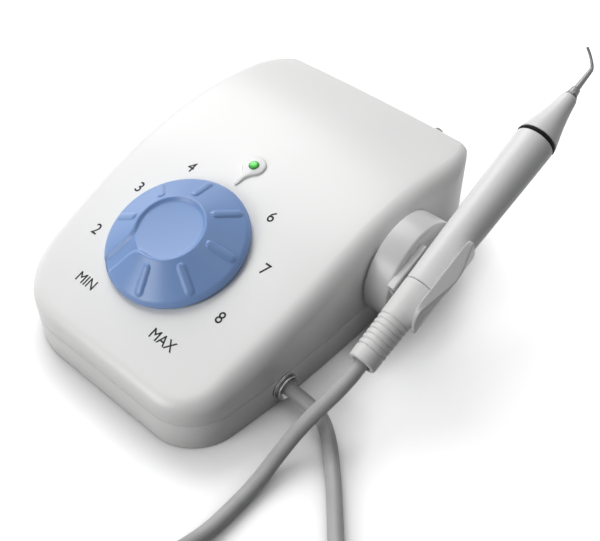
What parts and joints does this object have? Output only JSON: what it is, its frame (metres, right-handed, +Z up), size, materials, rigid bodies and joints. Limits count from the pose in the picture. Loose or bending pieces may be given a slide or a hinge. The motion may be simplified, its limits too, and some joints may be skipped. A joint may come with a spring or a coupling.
{
  "type": "ultrasonic dental scaler",
  "caption": "Table-top ultrasonic scaler: humped case with a tilted power dial, a swivelling cradle on its right wall, and a detachable handpiece with a bent tip on a coiled cord.",
  "frame": {"origin": "on the table under the middle of the case, holder and handpiece together, without the cord", "axes": "+X to the user's right, where the handpiece lies; +Y from the front to the back; +Z up"},
  "size_m": [0.2341, 0.3285, 0.0905],
  "materials": {
    "shell": "glossy moulded white",
    "tray": "moulded white",
    "dial_blue": "glossy blue",
    "trim": "glossy white",
    "led": "clear green lens",
    "bright": "bright plated",
    "black_rubber": "matte black",
    "grey_rubber": "dark grey",
    "handpiece": "light grey, satin",
    "clear": "clear",
    "steel": "satin steel",
    "cord": "grey silicone",
    "panel": "light grey",
    "socket": "black",
    "board": "green laminate",
    "ferrite": "dark ferrite",
    "copper": "copper winding",
    "sink": "extruded",
    "valve": "machined",
    "hose": "milky hose",
    "ceramic": "fired ceramic"
  },
  "bodies": {
    "base": {"top_cover": "shell", "base_tray": "tray", "rubber_feet": "grey_rubber", "case_screws": "steel", "rear_panel": "panel", "power_socket": "socket", "footswitch_socket": "socket", "water_inlet": "bright", "solenoid_valve": "valve", "water_line": "hose", "control_board": "board", "board_screws": "steel", "transformer_core": "ferrite", "transformer_coil": "copper", "heat_sink": "sink", "potentiometer": "steel", "potentiometer_nut": "steel", "indicator_bezel": "trim", "indicator_led": "led", "cord_gland": "bright", "gland_nut": "steel", "holder_washer": "black_rubber", "holder_spring": "steel", "cord_run": "cord", "cord_lead": "cord", "cord_coil": "cord", "cord_tie": "grey_rubber"},
    "dial": {"power_dial": "dial_blue", "dial_shaft": "steel"},
    "holder": {"handpiece_holder": "trim", "holder_pivot": "steel"},
    "connector": {"connector_body": "handpiece", "connector_plug": "socket", "plug_seal": "black_rubber"},
    "handpiece": {"handpiece_sleeve": "handpiece", "grip_ring": "black_rubber", "nose_cone": "handpiece", "light_ring": "clear", "transducer_horn": "steel", "piezo_stack": "ceramic", "back_mass": "steel", "scaling_tip": "steel"}
  },
  "joints": [
    {"name": "dial_turn", "type": "hinge", "parent": "base", "child": "dial", "pos_m": [-0.0197, -0.0544, 0.04058], "axis": [0, -0.284, 0.9588], "range_deg": [-294.4, 0]},
    {"name": "holder_swivel", "type": "hinge", "parent": "base", "child": "holder", "pos_m": [0.0447, 0.007, 0.029], "axis": [1, 0, 0], "range_deg": [-30, 0]},
    {"name": "handset_lift", "type": "slide", "parent": "holder", "child": "connector", "axis": [0, -0.3584, 0.9336], "range_m": [0, 0.04]},
    {"name": "handpiece_pull", "type": "slide", "parent": "connector", "child": "handpiece", "axis": [0, 0.9336, 0.3584], "range_m": [0, 0.03]}
  ]
}
